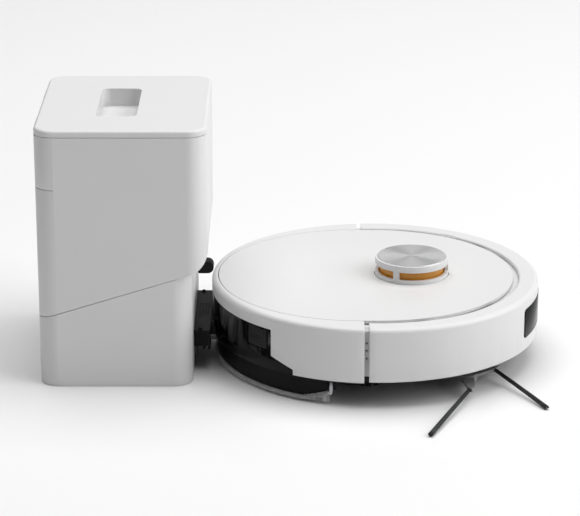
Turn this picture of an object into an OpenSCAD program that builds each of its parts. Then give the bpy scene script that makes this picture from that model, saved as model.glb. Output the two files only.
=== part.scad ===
// Robot vacuum with mop, parked on its self-emptying dock.
// Millimetres. +X is the way the robot drives off, +Y is the robot's left, +Z is up.
// The origin is the centre of the dock's base on the floor.

/* [Dock] */
// Depth of the dock's lower body, front to back
dock_depth = 155; // [150:1:165]
// Width of the dock
dock_width = 215; // [210:1:240]
// Height of the dock with its lid shut
dock_height = 268.5; // [262:0.5:300]
// Radius of the dock's upright corners
dock_corner = 20; // [18:1:30]
// How far the upper body stands out over the robot
dock_overhang = 16.4; // [15:0.1:17]
// Thickness of the dock's lid at its edge
dock_lid_edge = 6.7; // [6:0.1:9]
// Height of the slanted seam at the dock's centre line
seam_height = 95.1; // [92:0.1:97]
// Slope of that seam, rise over run
seam_slope = 0.311; // [0.28:0.001:0.33]
// Wall thickness of the dock's shells
dock_wall = 2.8; // [2.2:0.1:3.2]

/* [Robot body] */
// Distance from the dock's centre to the robot's centre
robot_x = 265; // [264:0.1:266]
// Radius of the robot
robot_r = 170; // [169:0.5:170.5]
// Height of the robot's deck cover
robot_top = 84; // [84:0.5:90]
// Height of the rear skirt's lower edge
skirt_z = 27.5; // [27.2:0.1:28]
// Wall thickness of the robot's shells
wall = 2.5; // [2:0.1:2.6]
// Rounding of the robot's top edge
rim = 5; // [4:0.5:6]

/* [Top cover] */
// Radius of the lift-off top cover
cover_r = 143.5; // [142:0.5:144]
// How far the cover's round back is drawn to the rear
cover_stretch = 19.5; // [18:0.5:20]
// Thickness of the cover
cover_t = 3; // [2.6:0.1:3]

/* [Bumper] */
// Front edge of the side gap, measured from the robot's centre
bumper_end = -10.5; // [-12:0.5:-10]
// Width of the side gap
bumper_gap = 5; // [5:0.5:8]
// How far the bumper can be pressed in
bumper_travel = 4; // [2:0.5:4]
// Half the width of the dark sensor window
window_half = 81; // [70:1:90]
// Lower and upper edge of the sensor window
window_z = [41, 72]; // [41:72]

/* [Turret] */
// Distance of the laser turret ahead of the robot's centre
turret_x = 38; // [36:0.5:40]
// Outer radius of the turret
turret_r = 38; // [37.5:0.1:38.2]
// Height of the turret above the cover
turret_h = 19.5; // [19:0.5:24]
// Width of each pillar between the turret's windows
pillar_w = 6; // [4:0.5:8]

/* [Running gear] */
// Radius of the drive wheels
wheel_r = 32.5; // [31:0.1:32.5]
// Width of the drive wheels
wheel_w = 17; // [15:0.5:17]
// Outer face of each drive wheel, from the centre line
wheel_out = 108; // [107.5:0.1:108]
// Drive axle, measured from the robot's centre
wheel_x = -9; // [-10:0.5:-8]
// Radius of the main brush
brush_r = 21; // [19:0.5:21]
// Length of the side brush's straightest bristle bundle
bristle_len = 112; // [90:1:114]
// Thickness of the mop cloth
cloth_t = 5.6; // [4:0.1:5.6]

/* [Hidden] */
$fn = 96;

// Colours
white = [0.93, 0.93, 0.93];
black = [0.04, 0.04, 0.045];
dark = [0.16, 0.16, 0.17];
grey = [0.45, 0.45, 0.46];
steel = [0.75, 0.76, 0.78];
amber = [0.88, 0.55, 0.08];
green = [0.1, 0.35, 0.2];

// Clearances
run = 0.05;
gap = 0.4;

// Dock: outline and seam
dock_back = -dock_depth / 2;
dock_front = dock_depth / 2;
upper_front = dock_front + dock_overhang;
half_w = dock_width / 2;
lid_z = dock_height - dock_lid_edge;
lip_drop = 4;
seam_angle = atan(seam_slope);
chin_r = 22;
chin_x = upper_front - chin_r;
chin_z = seam_at(chin_x) + chin_r / cos(seam_angle);
bay_floor_z = 136;
duct_half = 22;
duct_x = [50, 72.3];
port_half = 29;
port_z = [29.5, 40];
block_half = 62;
block_z = [26, 43];
block_front = robot_x - robot_r - 0.7;
seal_half = port_half + 4;
seal_z = [port_z[0] - 1.5, port_z[1] + 1.5];
liner_x = 88;
liner_z = 114.3;
liner_half = 84;
nose_y = [-88, -74];
nose_r = 6.1;
nose_x = 93.3;
contact_y = 50;
contact_z = 32;
contact_r = 2.5;
blower_x = -15;
blower_r = 50;
blower_z = [20, 66];
lid_axis = [dock_back + 1.5, lid_z + 0.2];
hinge_y = 50;
hinge_r = 3;
hinge_pin_r = 1.5;
grip_x = 2;
grip_size = [41, 107, 18.5];
grip_corner = 8;
vent_half = 60;
vent_z = [150, 207];
inlet_y = -70;
inlet_z = 24;
inlet_size = [24, 20];
inlet_depth = 16;
foot_r = 9;
foot_at = [60, 88];

// Robot: levels
flange_t = 2.5;
deck_z = robot_top - cover_t - 4;
deck_t = 2.5;
deck_top = deck_z + deck_t;
cover_z = robot_top - cover_t;
bumper_z = skirt_z + 1;
skin_in = robot_r - wall;
inner_r = 162.5;
shell_end = bumper_end - bumper_gap;
recess_r = cover_r + 0.8;
groove_r = 149.5;
floor_z = 12;
floor_flat = 120;
pan_r = 162;
pan_edge_z = 26.2;
rear_wall_x = -45.5;
tank_z = [38, 69.2];
tank_x = -108.5;
tank_r = robot_r - 0.4;
apron_z = [26.9, 37.6];
button_angle = 136.2;
button_half = 4.5;
button_z = [46.9, 67.1];
outlet_half = 26;
outlet_x = -150;
pad_angle = asin(contact_y / (robot_r + contact_r + gap));
sensor_angles = [-18, 18, -62, 62];
cover_feet = [[-120, 60], [-120, -60], [100, 70], [100, -70]];

// Robot: turret
window_low = robot_top + 4;
window_high = robot_top + 12.6;
turret_in = turret_r - 3.5;
turret_top = robot_top + turret_h;
amber_r = 33.2;
rotor_r = 30;
pulley_r = 5;
lidar_motor_x = -8;
belt_z = [69, 72];

// Robot: running gear
arm_pivot = [40, 46];
well_in = 89.4;
well_out = 114.2;
well_x = [-43.2, 52];
well_top = 72;
wheel_mid = wheel_out - wheel_w / 2;
brush_at = [-8, 22];
brush_half = 80;
brush_bay = [-36, 20, 84, 45.5];
fan_at = [-64.5, 51];
caster_x = 122;
caster_trail = 6;
caster_r = 13;
caster_cup = 22;
side_at = [90.4, -103.5];
side_pocket = 17;
side_pocket_z = 20;
stub_len = 43;
stub_z = 8.5;
bristle_r = 2.2;
// Each arm: its angle, the way its bundle sweeps, and the share of the bundle's length
side_arms = [[-86.3, -28, 1], [33.7, -95.2, 0.88], [153.7, -43, 0.72]];

function seam_at(x) = seam_height + seam_slope * x;

// ---------- shared shapes ----------

module box(x, y, z) {
    translate([x[0], y[0], z[0]]) cube([x[1] - x[0], y[1] - y[0], z[1] - z[0]]);
}

module both_sides() {
    children();
    mirror([0, 1, 0]) children();
}

module at_robot() {
    translate([robot_x, 0, 0]) children();
}

module at_turret() {
    translate([robot_x + turret_x, 0, 0]) children();
}

module tube(r_out, r_in, z) {
    translate([0, 0, z[0]]) difference() {
        cylinder(r = r_out, h = z[1] - z[0]);
        translate([0, 0, -1]) cylinder(r = r_in, h = z[1] - z[0] + 2);
    }
}

module disc(r, z) {
    translate([0, 0, z[0]]) cylinder(r = r, h = z[1] - z[0]);
}

// A cylinder along Y between two distances from the centre line
module rod_y(r, x, z, y) {
    translate([x, y[0], z]) rotate([-90, 0, 0]) cylinder(r = r, h = y[1] - y[0]);
}

// A cylinder along X
module rod_x(r, x, y, z) {
    translate([x[0], y, z]) rotate([0, 90, 0]) cylinder(r = r, h = x[1] - x[0]);
}

// A side view, drawn in X and Z, drawn out to both sides
module side_view(half) {
    rotate([90, 0, 0]) linear_extrude(2 * half, center = true) children();
}

module round_rect(x, y, r) {
    translate([x[0] + r, y[0]]) square([x[1] - x[0] - 2 * r, y[1] - y[0]]);
    translate([x[0], y[0] + r]) square([x[1] - x[0], y[1] - y[0] - 2 * r]);
    for (cx = [x[0] + r, x[1] - r], cy = [y[0] + r, y[1] - r])
        translate([cx, cy]) circle(r = r);
}

// A rounded slab whose upper edge is rounded as well
module soft_slab(x, y, z, r, edge) {
    top = z[1] - edge;
    translate([0, 0, z[0]]) linear_extrude(top - z[0]) round_rect(x, y, r);
    translate([0, 0, top]) linear_extrude(edge)
        round_rect([x[0] + edge, x[1] - edge], [y[0] + edge, y[1] - edge], r - edge);
    for (cx = [x[0] + r, x[1] - r], cy = [y[0] + r, y[1] - r])
        translate([cx, cy, top]) rotate_extrude() translate([r - edge, 0]) circle(r = edge);
    for (ey = [y[0] + edge, y[1] - edge])
        rod_x(edge, [x[0] + r, x[1] - r], ey, top);
    for (ex = [x[0] + edge, x[1] - edge])
        rod_y(edge, ex, top, [y[0] + r, y[1] - r]);
}

// The stretched circle of the top cover
module cover_outline(r) {
    circle(r = r);
    translate([-cover_stretch, 0]) circle(r = r);
    translate([-cover_stretch, -r]) square([cover_stretch, 2 * r]);
}

// Everything behind or ahead of a plane across the robot
module behind(x) {
    translate([x - 400, -200, 0]) cube([400, 400, 300]);
}

module ahead(x) {
    translate([x, -200, 0]) cube([400, 400, 300]);
}

// A quarter of a rounded edge, in a turned profile
module edge_band(r, t) {
    intersection() {
        difference() {
            circle(r = r);
            circle(r = r - t);
        }
        square(r);
    }
}

// A curved block between two radii and two bearings
module arc_block(r, a, z) {
    rotate([0, 0, a[0]]) rotate_extrude(angle = a[1] - a[0])
        translate([r[0], z[0]]) square([r[1] - r[0], z[1] - z[0]]);
}

// ---------- dock ----------

module dock_prism(inset, front, z) {
    translate([0, 0, z[0]]) linear_extrude(z[1] - z[0])
        round_rect([dock_back + inset, front - inset], [inset - half_w, half_w - inset],
                   dock_corner - inset);
}

// Side view of everything under the slanted seam, shifted up by d
module under_seam(d) {
    side_view(150) polygon([
        [-120, -10], [120, -10], [120, seam_at(120) + d], [-120, seam_at(-120) + d]
    ]);
}

// Side view of the upper body's outside
module upper_outline() {
    low_x = chin_x + chin_r * sin(seam_angle);
    translate([chin_x, chin_z]) intersection() {
        circle(r = chin_r);
        polygon([
            [0, 0], [chin_r * 2 * sin(seam_angle), -chin_r * 2 * cos(seam_angle)],
            [chin_r * 2, -chin_r * 2], [chin_r * 2, 0]
        ]);
    }
    polygon([
        [dock_back - 1, seam_at(dock_back - 1) + gap], [low_x, seam_at(low_x)],
        [chin_x, chin_z], [upper_front + 1, chin_z], [upper_front + 1, lid_z - gap],
        [dock_back - 1, lid_z - gap]
    ]);
}

module upper_cavity() {
    back = dock_back + dock_wall;
    polygon([
        [back, 20], [dock_front - dock_wall, 20], [dock_front - dock_wall, chin_z],
        [upper_front - dock_wall, chin_z + 10], [upper_front - dock_wall, 300], [back, 300]
    ]);
}

module dock_base_shell() color(white) difference() {
    intersection() {
        dock_prism(0, dock_front, [0, 150]);
        under_seam(-gap);
    }
    dock_prism(dock_wall, dock_front, [3, 160]);
    box([dock_front - 6, dock_front + 1], [4 - block_half, block_half - 4],
        [block_z[0] + 1.5, block_z[1] - 1.5]);
    for (sx = [-1, 1], sy = [-1, 1])
        translate([sx * foot_at[0], sy * foot_at[1], -1]) cylinder(r = foot_r + 0.2, h = 3.6);
    box([dock_back - 1, dock_back + 6],
        [inlet_y - inlet_size[0] / 2, inlet_y + inlet_size[0] / 2],
        [inlet_z - inlet_size[1] / 2, inlet_z + inlet_size[1] / 2]);
}

module dock_upper_shell() color(white) difference() {
    union() {
        difference() {
            intersection() {
                dock_prism(0, upper_front, [20, lid_z]);
                side_view(150) upper_outline();
            }
            intersection() {
                dock_prism(dock_wall, upper_front, [20, 300]);
                side_view(150) upper_cavity();
            }
        }
        seam_lip();
        dock_prism(dock_wall - 1, dock_front, [bay_floor_z, bay_floor_z + 3]);
        both_sides() for (y = [hinge_y - 9.5, hinge_y + 9.5])
            shell_knuckle(y);
    }
    box([dock_back - 1, dock_back + dock_wall + 1], [-vent_half, vent_half], vent_z);
    box([duct_x[0] - 0.5, duct_x[1] + 0.5], [-duct_half - 0.5, duct_half + 0.5],
        [bay_floor_z - 1, bay_floor_z + 4]);
    translate([blower_x, 0, bay_floor_z - 1]) cylinder(r = 24, h = 5);
    both_sides() box([dock_back - 1, dock_back + 5], [hinge_y - 4.8, hinge_y + 4.8],
                     [lid_axis[1] - 4.2, lid_z + 10]);
    box([dock_back - 1, dock_back + dock_wall + 1], [-97, 97], [lid_axis[1] - 1.8, lid_z - 0.01]);
    both_sides() rod_y(hinge_pin_r, lid_axis[0], lid_axis[1], [hinge_y - 15, hinge_y + 15]);
    difference() {
        box([dock_back - 1, dock_back + 19], [-half_w - 1, half_w + 1],
            [vent_z[1], vent_z[1] + 0.9]);
        dock_prism(0.8, upper_front, [vent_z[1] - 1, vent_z[1] + 2]);
    }
}

// Inner lip that closes the slanted seam from inside
module seam_lip() {
    intersection() {
        difference() {
            dock_prism(dock_wall + 0.2, dock_front, [20, 160]);
            dock_prism(dock_wall + 2, dock_front, [10, 170]);
        }
        difference() {
            under_seam(6);
            under_seam(-lip_drop);
        }
    }
    intersection() {
        difference() {
            dock_prism(1, dock_front, [20, 160]);
            dock_prism(dock_wall + 2, dock_front, [10, 170]);
        }
        difference() {
            under_seam(6);
            under_seam(2);
        }
    }
}

module shell_knuckle(y) {
    rod_y(hinge_r, lid_axis[0], lid_axis[1], [y - 4.5, y + 4.5]);
    box([dock_back, lid_axis[0] + hinge_r], [y - 4.5, y + 4.5], [lid_z - 12, lid_axis[1]]);
}

module dock_lid() color(white) difference() {
    union() {
        difference() {
            soft_slab([dock_back, upper_front], [-half_w, half_w], [lid_z + 0.1, dock_height],
                      dock_corner, 3);
            translate([0, 0, lid_z - 1]) linear_extrude(dock_lid_edge - 2)
                round_rect([dock_back + 12, upper_front - 4], [4 - half_w, half_w - 4],
                           dock_corner - 4);
        }
        grip_box([2, 2, 2]);
        both_sides() rod_y(hinge_r, lid_axis[0], lid_axis[1], [hinge_y - 4.5, hinge_y + 4.5]);
    }
    grip_box([0, 0, 0]);
    both_sides() for (y = [hinge_y - 9.5, hinge_y + 9.5])
        rod_y(hinge_r + 0.5, lid_axis[0], lid_axis[1], [y - 4.9, y + 4.9]);
    both_sides() rod_y(hinge_pin_r + run, lid_axis[0], lid_axis[1],
                       [hinge_y - 15, hinge_y + 15]);
}

// The finger tub in the lid, grown by a wall thickness
module grip_box(grow) {
    x = grip_size[0] / 2 + grow[0];
    y = grip_size[1] / 2 + grow[1];
    low = dock_height - grip_size[2] - grow[2];
    high = grow[2] > 0 ? dock_height - 1 : dock_height + 1;
    translate([grip_x, 0, low]) linear_extrude(high - low)
        round_rect([-x, x], [-y, y], grip_corner + grow[0]);
}

module dock_lid_pins() color(steel) both_sides()
    rod_y(hinge_pin_r, lid_axis[0], lid_axis[1], [hinge_y - 14, hinge_y + 14]);

module hood_liner() color(black) difference() {
    union() {
        box([dock_front + gap, liner_x], [-liner_half, liner_half], [liner_z, chin_z - 6]);
        box([liner_x - 4, nose_x], nose_y, [liner_z, liner_z + 2 * nose_r]);
        rod_y(nose_r, nose_x, liner_z + nose_r, nose_y);
    }
    side_view(100) translate([chin_x, chin_z]) circle(r = chin_r + 0.1);
    side_view(100) polygon([
        [chin_x, seam_at(chin_x) - 0.1], [chin_x + 8, seam_at(chin_x + 8) - 0.1],
        [chin_x + 8, chin_z], [chin_x, chin_z]
    ]);
    for (y = [8 - liner_half:8:liner_half - 8])
        box([liner_x - 0.8, liner_x + 1], [y - 0.6, y + 0.6], [liner_z + 2, liner_z + 8]);
}

module docking_block() color(black) difference() {
    union() {
        box([dock_front, block_front], [-block_half, block_half], block_z);
        for (x = [dock_front + 9, block_front - 2.6])
            box([x, x + 2.6], [2 - block_half, block_half - 2], [block_z[0] - 4.6, block_z[0] + 1]);
        both_sides() translate([dock_front + 6.6, block_half - 4, block_z[1]]) sphere(r = 2.2);
    }
    box([dock_front - 1, block_front + 1], [-port_half, port_half], port_z);
    box([block_front - 1.9, block_front + 1], [-seal_half - 0.2, seal_half + 0.2],
        [seal_z[0] - 0.2, seal_z[1] + 0.2]);
    both_sides()
        rod_x(contact_r + 0.1, [dock_front - 1, block_front + 1], contact_y, contact_z);
    for (x = [dock_front + 4:3:block_front - 3])
        box([x, x + 1], [-20, 20], [block_z[1] - 0.6, block_z[1] + 1]);
}

module port_seal() color(dark) difference() {
    box([block_front - 1.7, block_front + 6], [-seal_half, seal_half], seal_z);
    box([block_front - 3, block_front + 8], [-port_half, port_half], port_z);
    at_robot() disc(robot_r + 0.1, [0, 100], $fn = 360);
}

// Sprung pins that stop just short of the robot's rounded back
module charge_contacts() color(steel) both_sides() {
    tip = robot_x - sqrt(pow(robot_r + contact_r + gap, 2) - pow(contact_y, 2));
    rod_x(contact_r, [dock_front + 4, tip], contact_y, contact_z);
    translate([tip, contact_y, contact_z]) sphere(r = contact_r);
}

module air_duct() color(grey) difference() {
    union() {
        box([duct_x[0], duct_x[1] + 1.8], [-port_half - 2, port_half + 2],
            [port_z[0] - 2, port_z[1] + 2]);
        box(duct_x, [-duct_half, duct_half], [port_z[0] - 2, 225]);
    }
    box([duct_x[0] + 2, duct_x[1] + 3], [-port_half, port_half], port_z);
    box([duct_x[0] + 2, duct_x[1] - 2], [2 - duct_half, duct_half - 2], [port_z[0], 223]);
    rod_x(16, [duct_x[0] - 1, duct_x[0] + 3], 0, 200);
}

module dust_bag() color([0.85, 0.83, 0.78]) translate([0, 0, 142]) linear_extrude(90)
    round_rect([-66, 40], [-82, 82], 16);

module bag_collar() color([0.8, 0.72, 0.6]) difference() {
    union() {
        box([42, 44.5], [-40, 40], [152, 236]);
        box([42, 44.5], [-12, 12], [236, 243]);
        rod_x(20, [40.3, 42], 0, 200);
    }
    rod_x(16, [38, 46], 0, 200);
}

module blower_housing() color(dark) translate([blower_x, 0, 0]) difference() {
    union() {
        disc(blower_r, blower_z);
        box([-72 - blower_x, 0], [14, 46], [26, 54]);
    }
    disc(blower_r - 4, [blower_z[0] + 4, blower_z[1] - 3]);
    box([-75 - blower_x, -20], [17, 43], [29, 51]);
    disc(22, [blower_z[1] - 5, blower_z[1] + 2]);
    disc(4 + run, [blower_z[0] - 1, blower_z[0] + 6]);
}

module blower_impeller() color(grey) translate([blower_x, 0, 0]) {
    disc(4, [blower_z[0] + 1, 40]);
    disc(blower_r - 9, [27, 29]);
    disc(10, [29, 46]);
    for (a = [0:30:330])
        rotate([0, 0, a]) translate([9, -0.8, 28.5]) rotate([0, 0, 18]) cube([28, 1.6, 20]);
}

module dock_circuit_board() color(green) {
    box([-55, 45], [88, 89.6], [14, 62]);
    box([-45, -15], [80, 88], [22, 50]);
    rod_y(7, 5, 38, [74, 88]);
    rod_y(5, 25, 30, [78, 88]);
    box([-5, 25], [84, 88], [50, 58]);
}

module mains_inlet() color(black) difference() {
    box([dock_back - 0.8, dock_back + inlet_depth + 3],
        [inlet_y - inlet_size[0] / 2 + 0.2, inlet_y + inlet_size[0] / 2 - 0.2],
        [inlet_z - inlet_size[1] / 2 + 0.2, inlet_z + inlet_size[1] / 2 - 0.2]);
    difference() {
        for (dy = [-4.5, 4.5])
            rod_x(4.6, [dock_back - 2, dock_back + inlet_depth], inlet_y + dy, inlet_z);
        for (dy = [-4.5, 4.5])
            rod_x(1.2, [dock_back + 7, dock_back + inlet_depth + 1], inlet_y + dy, inlet_z);
    }
    box([dock_back - 2, dock_back + 6.5], [inlet_y - 4.5, inlet_y + 4.5],
        [inlet_z - 4.6, inlet_z + 4.6]);
}

module dock_feet() color(dark) for (sx = [-1, 1], sy = [-1, 1])
    translate([sx * foot_at[0], sy * foot_at[1], 0]) difference() {
        cylinder(r = foot_r, h = 2.4);
        translate([0, 0, -0.4]) tube(foot_r - 2, foot_r - 3, [0, 1]);
    }

module rear_vent_panel() color(white) difference() {
    box([dock_back + 0.2, dock_back + dock_wall], [0.3 - vent_half, vent_half - 0.3],
        [vent_z[0] + 0.3, vent_z[1] - 0.3]);
    for (z = [vent_z[0] + 6:5:vent_z[1] - 6], y = [-52, 4])
        box([dock_back - 1, dock_back + dock_wall + 1], [y, y + 48], [z, z + 2.4]);
}

// ---------- robot: shells ----------

module pan_profile() {
    polygon([
        [0, floor_z], [floor_flat, floor_z], [pan_r, pan_edge_z], [pan_r, 32],
        [pan_r - wall, 32], [pan_r - wall, 28.6], [floor_flat, floor_z + 3], [0, floor_z + 3]
    ]);
}

// Section of the room above the pan's middle surface
module above_pan() {
    polygon([
        [0, floor_z + 1], [floor_flat, floor_z + 1], [pan_r - 1, pan_edge_z + 1],
        [pan_r - 1, 40], [0, 40]
    ]);
}

module wheel_well_walls() {
    both_sides() difference() {
        box([rear_wall_x, well_x[1] + 2.4], [well_in - 2.5, well_out + 2.5],
            [floor_z + 1, well_top + 2.4]);
        box([rear_wall_x - 1, well_x[1]], [well_in, well_out], [floor_z - 1, well_top]);
    }
}

module chassis() color(dark) at_robot() difference() {
    union() {
        intersection() {
            rotate_extrude() pan_profile();
            ahead(rear_wall_x);
        }
        box([rear_wall_x, rear_wall_x + 2.3], [-150, 150], [floor_z + 1, 26.6]);
        intersection() {
            tube(robot_r - 3, pan_r - 2, [skirt_z - 2.2, skirt_z]);
            box([rear_wall_x, shell_end], [-200, 200], [0, 60]);
        }
        intersection() {
            tube(robot_r - 3, 164.4, [skirt_z - 2.2, skirt_z]);
            box([-86, rear_wall_x + 5], [-200, 200], [0, 60]);
        }
        intersection() {
            wheel_well_walls();
            disc(pan_r, [0, 100]);
        }
        box([brush_bay[0] - 2.5, brush_bay[1] + 2.5], [-brush_bay[2] - 2.5, brush_bay[2] + 2.5],
            [floor_z + 1, brush_bay[3] + 2.5]);
        intersection() {
            translate([side_at[0], side_at[1], 0])
                disc(side_pocket + 2, [floor_z, side_pocket_z + 2.4]);
            rotate_extrude() above_pan();
        }
        translate([caster_x, 0, 0]) disc(caster_cup + 2, [floor_z + 2, 31]);
        for (p = [[60, 60], [30, -62]])
            translate([p[0], p[1], 0]) disc(4, [floor_z + 1, 30]);
    }
    translate([side_at[0], side_at[1], 0]) {
        disc(side_pocket, [0, side_pocket_z]);
        disc(7, [0, 30]);
    }
    box([brush_bay[0], brush_bay[1]], [-brush_bay[2], brush_bay[2]], [0, brush_bay[3]]);
    box([brush_bay[0] - 5, brush_bay[0] + 1], [-25, 25], [26, 42]);
    rod_y(3 + run, brush_at[0], brush_at[1], [-90, 90]);
    translate([caster_x, 0, 0]) {
        disc(caster_cup, [0, 28.4]);
        disc(4 + run, [20, 40]);
    }
    both_sides() {
        box(well_x, [well_in, well_out], [0, well_top]);
        rod_y(2.5 + run, arm_pivot[0], arm_pivot[1], [well_in - 4, well_out + 4]);
        box([well_x[0], well_x[1] + 4], [well_in + 0.01, well_out], [0, 30]);
    }
    for (a = sensor_angles)
        rotate([0, 0, a]) box([147.8, 158.2], [-8.2, 8.2], [0, 40]);
}

// Side view of the tank with its slanted lower front, at a given inset
module tank_outline(d) {
    polygon([
        [-200, tank_z[0] + d], [-98.5 - 1.5 * d, tank_z[0] + d], [tank_x - d, 42 + 0.6 * d],
        [tank_x - d, 100], [-200, 100]
    ]);
}

module apron_outline(d) {
    polygon([
        [-200, apron_z[0] + d], [-86.4 - d, apron_z[0] + d], [-86.4 - d, 32.7 - 0.4 * d],
        [-98.2, apron_z[1] - 0.2 - d], [-98.2, apron_z[1] + 0.02], [-200, apron_z[1] + 0.02]
    ]);
}

module rear_apron() color(black) at_robot() difference() {
    union() {
        intersection() {
            side_view(200) apron_outline(0);
            disc(robot_r - 1, apron_z);
        }
        intersection() {
            box([-100, rear_wall_x], [-170, 170], [apron_z[0], apron_z[0] + 2.3]);
            disc(pan_r - 3, [0, 60]);
        }
    }
    intersection() {
        side_view(200) apron_outline(2.4);
        disc(robot_r - 4.5, [0, 60]);
        behind(-89);
    }
    for (s = [-1, 1])
        arc_block([robot_r - 2.2, robot_r + 2], [180 + s * pad_angle - 2.6, 180 + s * pad_angle + 2.6],
                  [contact_z - 3.8, contact_z + 3.8]);
    box([-175, outlet_x - 0.6], [-outlet_half - 5.6, outlet_half + 5.6], [20, 50]);
}

module shell_cutter() {
    side_view(200) polygon([
        [-220, 10], [-86, 10], [-86, 33], [-98, 38], [tank_x + 0.5, 42.1],
        [tank_x + 0.5, tank_z[1] + 0.6], [-220, tank_z[1] + 0.6]
    ]);
}

module upper_shell() color(white) at_robot() difference() {
    union() {
        intersection() {
            difference() {
                rotate_extrude() skirt_profile(skirt_z, 138);
                translate([0, 0, deck_z - 1]) linear_extrude(20) cover_outline(recess_r);
            }
            behind(shell_end);
        }
        intersection() {
            translate([0, 0, deck_z]) linear_extrude(robot_top - deck_z - 0.01) difference() {
                cover_outline(recess_r + 2);
                cover_outline(recess_r);
            }
            behind(shell_end);
        }
        disc(inner_r, [deck_z, deck_top]);
        intersection() {
            tube(inner_r, inner_r - wall, [32, deck_top]);
            ahead(shell_end - wall);
        }
        intersection() {
            rotate_extrude() solid_rim_profile(32);
            translate([shell_end - wall, -200, 0]) cube([wall, 400, 120]);
        }
    }
    shell_cutter();
    translate([turret_x, 0, deck_z - 1]) cylinder(r = turret_in + 2, h = 10);
    translate([112, 20, deck_z - 1]) cylinder(r = 7.3, h = 10);
    for (a = [[36, 44], [70, 76], [-44, -36], [-76, -70]])
        arc_block([144.6, 149], a, [deck_z - 1, deck_top + 1]);
    for (z = [51, 59, 67])
        both_sides() translate([bumper_end - 2.5, inner_r + 2, z]) rotate([90, 0, 0])
            cylinder(r = 1, h = 8);
}

// Turned section of the outer skirt, its rounded rim and its top flange
module skirt_profile(low, flange_in) {
    translate([skin_in, low]) square([wall, robot_top - rim - low]);
    translate([robot_r - rim, robot_top - rim]) edge_band(rim, flange_t);
    translate([flange_in, robot_top - flange_t]) square([robot_r - rim - flange_in, flange_t]);
}

// The same outside, solid down to the inner wall
module solid_rim_profile(low) {
    in = inner_r - wall;
    translate([in, low]) square([robot_r - in, robot_top - rim - low]);
    translate([in, low]) square([robot_r - rim - in, robot_top - low]);
    translate([robot_r - rim, robot_top - rim]) intersection() {
        circle(r = rim);
        square(rim);
    }
}

module bumper() color(white) at_robot() difference() {
    intersection() {
        rotate_extrude() {
            skirt_profile(bumper_z, groove_r + 2);
            translate([groove_r + 2, robot_top - 2]) circle(r = 2);
            translate([groove_r, deck_top + 0.7]) square([4, robot_top - deck_top - 2.7]);
        }
        ahead(bumper_end);
    }
    window_prism(0.15);
}

// The rounded window outline, driven through the front
module window_prism(grow) {
    translate([100, 0, 0]) rotate([90, 0, 90]) linear_extrude(100)
        round_rect([-window_half - grow, window_half + grow],
                   [window_z[0] - grow, window_z[1] + grow], 4);
}

module front_window() color(black) at_robot() intersection() {
    tube(robot_r + 0.3, skin_in, [30, 80]);
    window_prism(0);
}

// A coil spring that stands along Z
module coil_spring(r, wire, length, turns) {
    per_turn = 14;
    sides = 8;
    rings = turns * per_turn;
    points = [for (i = [0:rings], j = [0:sides - 1])
        let (a = i * 360 / per_turn, b = j * 360 / sides, q = r + wire * cos(b))
        [q * cos(a), q * sin(a), wire + (length - 2 * wire) * i / rings + wire * sin(b)]];
    walls = [for (i = [0:rings - 1], j = [0:sides - 1])
        let (k = (j + 1) % sides)
        [i * sides + j, (i + 1) * sides + j, (i + 1) * sides + k, i * sides + k]];
    first = [for (j = [0:sides - 1]) j];
    last = [for (j = [sides - 1:-1:0]) rings * sides + j];
    polyhedron(points, concat(walls, [first], [last]));
}

module bumper_springs() color(steel) at_robot() both_sides()
    translate([inner_r - 0.8, 20, 36]) rotate([0, 90, 0]) coil_spring(2, 0.35, 3.9, 3);

module top_cover() color(white) at_robot() difference() {
    union() {
        translate([0, 0, cover_z]) linear_extrude(cover_t) cover_outline(cover_r);
        for (p = cover_feet)
            translate([p[0], p[1], 0]) disc(5.5, [deck_top + 0.4, cover_z + 0.5]);
    }
    translate([turret_x, 0, cover_z - 2]) cylinder(r = turret_r + 0.8, h = 10);
    translate([77, -5, cover_z - 1]) cylinder(r = 0.9, h = 10);
    for (p = cover_feet)
        translate([p[0], p[1], 0]) disc(4, [deck_top - 1, cover_z + 0.4]);
    both_sides() box([-100, -60], [60, 66], [cover_z - 1, cover_z + 0.8]);
}

module power_button() color(grey) at_robot() translate([112, 20, 0]) difference() {
    union() {
        disc(7, [deck_z - 1, cover_z - 0.8]);
        disc(9, [deck_z - 2, deck_z - 0.4]);
        disc(2, [deck_z - 5, deck_z - 1]);
    }
    translate([0, 0, cover_z + 7.6]) sphere(r = 9);
}

// ---------- robot: laser turret ----------

module turret_frame() color(white) at_turret() difference() {
    union() {
        tube(turret_r, turret_in, [deck_top, turret_top - 0.5]);
        disc(turret_r, [turret_top - 3.5, turret_top - 0.5]);
        tube(turret_r + 4, turret_in, [deck_top, deck_top + 1.1]);
    }
    disc(turret_r - 2.2, [turret_top - 1.5, turret_top + 1]);
    difference() {
        tube(turret_r + 6, turret_in - 1, [window_low, window_high]);
        for (a = [-118, 2, 122])
            rotate([0, 0, a]) box([0, 60], [-pillar_w / 2, pillar_w / 2], [80, 110]);
    }
}

module turret_disc() color(steel) at_turret() {
    disc(turret_r - 2.4, [turret_top - 1.4, turret_top - 0.4]);
    disc(turret_r - 2.8, [turret_top - 0.5, turret_top]);
}

module turret_window() color(amber, 0.8) at_turret()
    tube(amber_r, amber_r - 1.8, [deck_top + 0.2, turret_top - 3.7]);

module lidar_base() color(dark) at_robot() difference() {
    union() {
        translate([turret_x, 0, 0]) {
            disc(36, [62, 65]);
            disc(6, [64, 75]);
            for (a = [20, 110, 250, 340])
                rotate([0, 0, a]) translate([35.5, 0, 0]) disc(2, [64, deck_z]);
        }
        box([lidar_motor_x, turret_x], [-12, 12], [62, 65]);
        translate([lidar_motor_x, 0, 0]) disc(12, [62, 65]);
    }
    translate([lidar_motor_x, 0, 0]) disc(2, [50, 70]);
}

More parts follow.
